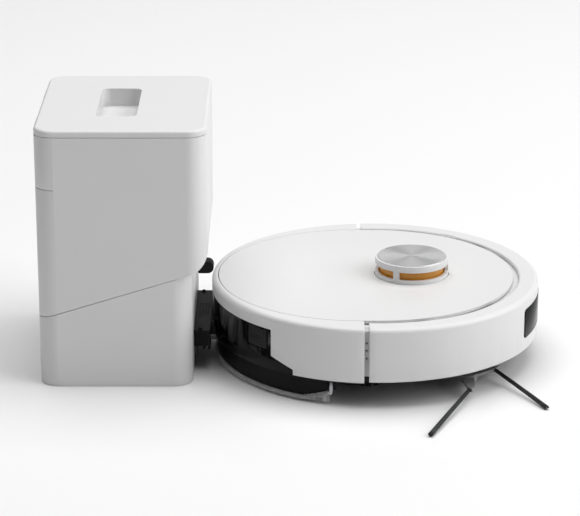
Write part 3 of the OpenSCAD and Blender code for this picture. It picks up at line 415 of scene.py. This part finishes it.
def bristle_bundle(angle, sweep, reach):
    """Stiff bristles that leave a stub and lie out along the floor, square-cut at the tips."""
    out = Vector((math.cos(angle), math.sin(angle), 0.0))
    along = Vector((math.cos(angle + sweep), math.sin(angle + sweep), 0.0))
    across = Vector((-along.y, along.x, 0.0))
    start = SIDE_HUB + ROOT_AT * out + Vector((0.0, 0.0, ROOT_Z))
    parts = []
    for i in range(BRISTLES):
        r = math.sqrt(rng.random())
        t = rng.random() * 2.0 * math.pi
        u, w = r * math.cos(t), r * math.sin(t)
        length = reach - rng.random() ** 2 * 2.0 * MM
        path, radii = [], []
        for k in range(BRISTLE_STEPS + 1):
            f = k / BRISTLE_STEPS
            spread = (1.9 + 0.6 * f) * MM
            drop = BUNDLE_DROP * (0.85 * f + 0.15 * f * f)
            p = start + length * f * along + spread * u * across
            p = p + Vector((0.0, 0.0, 0.8 * spread * w - drop))
            p.z = max(p.z, FIBRE_LOW)
            path.append(p)
            radii.append((0.26 - 0.08 * f) * MM)
        parts.append(strand(path, radii))
    return parts


tufts = []
for angle, sweep, reach in SIDE_ARMS:
    tufts += bristle_bundle(math.radians(angle), math.radians(sweep), reach * MM)
bristles = piece("side_brush_tufts", *gather(tufts), BRISTLE, "side_brush", "bristle_dark")
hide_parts("side_brush_bristles")


# ---------- mop cloth ----------

MOP_FRONT = -77.0 * MM
MOP_R = 165.2 * MM
MOP_HALF = 157.6 * MM
MOP_MIDDLE = 2.9 * MM
MOP_HALF_THICK = 2.5 * MM
MOP_LOW = 0.15 * MM
# How far in from its edge the cloth's rim rounds off
MOP_ROLL = 3.0 * MM
MOP_COLUMNS = 300
MOP_DEPTH_STEPS = 46
PILE_LOOPS = 5200
# How far the loops go past the cloth's front corners, in radians, and the wrapped front's slope
PILE_PAST = 0.175
PILE_SLOPE = 0.34
rng = random.Random(5)


def fuzz(p, scale, seed=0.0):
    return noise.noise(Vector(p) * scale + Vector((seed, seed, seed)))


def mop_section():
    """Front-to-back side view of the cloth's middle surface, as (x, z), with its wrapped front."""
    return [(-48.1, 23.4), (-48.1, 17.0), (-48.4, 12.6), (-51.5, 10.4), (-60.0, 7.6),
            (-70.0, 4.4), (-77.0, 2.9)]


def mop_height(x):
    """Height of the cloth's middle surface behind its wrapped front."""
    slant = mop_section()[2:][::-1]
    return float(np.interp(x / MM, [p[0] for p in slant], [p[1] for p in slant])) * MM


def mop_cloth():
    """A thick pile cloth under the plate: a flat field, a round rolled rim and a wrapped front."""
    verts, faces = [], []
    rows = []
    for side in (1, -1):
        for i in range(MOP_COLUMNS + 1):
            y = -MOP_HALF + 2.0 * MOP_HALF * i / MOP_COLUMNS
            back = -math.sqrt(MOP_R * MOP_R - y * y)
            line = [(x * MM, z * MM) for x, z in mop_section()]
            for k in range(1, MOP_DEPTH_STEPS + 1):
                f = k / MOP_DEPTH_STEPS
                line.append((MOP_FRONT + (back - MOP_FRONT) * f, MOP_MIDDLE))
            rows.append((side, y, back, line))
    per = len(rows[0][3])
    for side, y, back, line in rows:
        for k, (x, z) in enumerate(line):
            if x < back:
                x, z = back, mop_height(back)
            edge = min(MOP_R - math.hypot(x, y), MOP_ROLL)
            inward = 1.0 - max(edge, 0.0) / MOP_ROLL
            half = MOP_HALF_THICK * math.sqrt(max(0.0, 1.0 - inward ** 2))
            if k < 5:
                half = min(half, (1.6 + 0.2 * k) * MM)
            if k == 0:
                half = min(half, 0.6 * MM)
            tilt = Vector((0.0, 0.0, 1.0))
            if k < 2:
                tilt = Vector((-1.0, 0.0, 0.0))
            elif k < 5:
                tilt = Vector((-0.6, 0.0, 0.8))
            p = Vector((ROBOT_X + x, y, z)) + side * half * tilt
            ruffle = 0.45 * MM * fuzz(p, 420.0) + 0.25 * MM * fuzz(p, 1100.0, 3.0)
            p = p + side * ruffle * tilt
            p.z = max(p.z, MOP_LOW)
            verts.append(p)
    block = (MOP_COLUMNS + 1) * per
    for s in range(2):
        for i in range(MOP_COLUMNS):
            for k in range(per - 1):
                a = s * block + i * per + k
                quad = (a, a + per, a + per + 1, a + 1)
                faces.append(quad if s else quad[::-1])
    rim = [i * per for i in range(MOP_COLUMNS + 1)]
    rim += [MOP_COLUMNS * per + k for k in range(1, per)]
    rim += [i * per + per - 1 for i in range(MOP_COLUMNS - 1, -1, -1)]
    rim += [k for k in range(per - 2, 0, -1)]
    for a, b in zip(rim, rim[1:] + rim[:1]):
        faces.append((a, b, b + block, a + block))
    return verts, faces


def pile_tufts():
    """Loose microfibre loops that stand out of the rim and the wrapped front."""
    parts = []
    half_turn = math.acos(-MOP_FRONT / MOP_R)
    for i in range(PILE_LOOPS):
        a = math.pi + (rng.random() * 2.0 - 1.0) * (half_turn + PILE_PAST)
        x, y = MOP_R * math.cos(a), MOP_R * math.sin(a)
        z = (1.0 + 4.4 * rng.random()) * MM
        if x > MOP_FRONT:
            z += (x - MOP_FRONT) * PILE_SLOPE
        out = Vector((math.cos(a), math.sin(a), 0.0))
        lean = Vector((rng.uniform(-1, 1), rng.uniform(-1, 1), rng.uniform(-0.7, 0.9)))
        base = Vector((ROBOT_X + x, y, z)) - 1.1 * MM * out
        tip = base + (1.5 + 1.2 * rng.random()) * MM * out + 0.8 * MM * lean
        mid = 0.5 * (base + tip) + Vector((0.0, 0.0, 0.5 * MM))
        tip.z = max(tip.z, FIBRE_LOW)
        parts.append(strand([base, mid, tip], [0.26 * MM, 0.22 * MM, 0.08 * MM], 4))
    return parts


cloth = piece("mop_pad", *mop_cloth(), MOP, "robot", "mop_fabric")
cloth.modifiers.new("weld", "WELD").merge_threshold = 0.01 * MM
cloth_pile = piece("mop_pile", *gather(pile_tufts()), MOP, "robot", "mop_fabric")
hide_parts("mop_cloth")


# ---------- dust bag ----------

BAG_GRID = 44
# Power of the rounded box: 2 is a ball, and more is squarer
BAG_SQUARENESS = 3.6


def dust_bag():
    """A filled paper bag: puffed faces, pinched corners and a folded seam round its middle."""
    low, high = (Vector(c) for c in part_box("dust_bag"))
    centre, half = (low + high) / 2.0, (high - low) / 2.0
    index, verts, faces = {}, [], []

    def corner(face, i, j):
        u, v = 2.0 * i / BAG_GRID - 1.0, 2.0 * j / BAG_GRID - 1.0
        axis, sign = divmod(face, 2)
        sign = 1.0 if sign else -1.0
        p = [0.0, 0.0, 0.0]
        p[axis], p[(axis + 1) % 3], p[(axis + 2) % 3] = sign, u, v
        key = tuple(round(c, 6) for c in p)
        if key not in index:
            q = Vector(p)
            length = sum(abs(c) ** BAG_SQUARENESS for c in q) ** (1.0 / BAG_SQUARENESS)
            q = q / length
            crease = 1.0 - 0.05 * math.exp(-((q.z / 0.06) ** 2))
            folds = 0.035 * math.sin(9.0 * q.y + 3.0 * q.z) * (1.0 - abs(q.x))
            wander = 0.05 * fuzz(q, 2.2) + 0.02 * fuzz(q, 6.0, 4.0)
            grow = min(0.995, crease * (0.95 + wander + folds))
            index[key] = len(verts)
            verts.append(centre + Vector(a * b * grow for a, b in zip(q, half)))
        return index[key]

    for face in range(6):
        for i in range(BAG_GRID):
            for j in range(BAG_GRID):
                quad = [corner(face, i, j), corner(face, i + 1, j),
                        corner(face, i + 1, j + 1), corner(face, i, j + 1)]
                faces.append(quad if face % 2 else quad[::-1])
    made = piece("dust_bag_paper", verts, faces, PAPER, "dock", "bag_paper")
    made.modifiers.new("smooth", "SUBSURF").levels = 1
    return made


bag = dust_bag()
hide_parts("dust_bag")


# ---------- floor, light ----------

FLOOR_REACH = 9.0
FLOOR_SHADE = 0.83
FLOOR_DROP = 0.4 * MM
STUDIO_LIGHT = 0.09


def floor():
    data = bpy.data.meshes.new("floor")
    corners = ((-1, -1), (1, -1), (1, 1), (-1, 1))
    data.from_pydata([(FLOOR_REACH * x, FLOOR_REACH * y, 0.0) for x, y in corners], [],
                     [(0, 1, 2, 3)])
    s = Shader("floor", (FLOOR_SHADE,) * 3, 0.6)
    s.tint(s.noise(3.0), 0.004)
    data.materials.append(s.material)
    made = bpy.data.objects.new("floor", data)
    made.location.z = -FLOOR_DROP
    scene.collection.objects.link(made)


def area_light(name, place, target, size, power):
    """A soft panel aimed at a point, with its size in metres and its power in watts."""
    data = bpy.data.lights.new(name, "AREA")
    data.shape = "RECTANGLE"
    data.size, data.size_y = size
    data.energy = power
    made = bpy.data.objects.new(name, data)
    made.location = place
    aim = Vector(target) - Vector(place)
    made.rotation_euler = aim.to_track_quat("-Z", "Y").to_euler()
    scene.collection.objects.link(made)


floor()
area_light("key_right", (4.2, -0.75, 2.7), (0.15, 0.0, 0.1), (4.4, 4.4), 185.0)
area_light("top_soft", (0.2, 0.5, 5.0), (0.15, 0.2, 0.0), (5.0, 5.0), 250.0)
area_light("back_panel", (0.3, 4.0, 1.6), (0.25, 0.0, 0.1), (4.5, 1.8), 14.0)
world = bpy.data.worlds.new("studio")
world.use_nodes = True
world.node_tree.nodes["Background"].inputs["Color"].default_value = (1.0, 1.0, 1.0, 1.0)
world.node_tree.nodes["Background"].inputs["Strength"].default_value = STUDIO_LIGHT
scene.world = world
scene.view_settings.view_transform = "Standard"
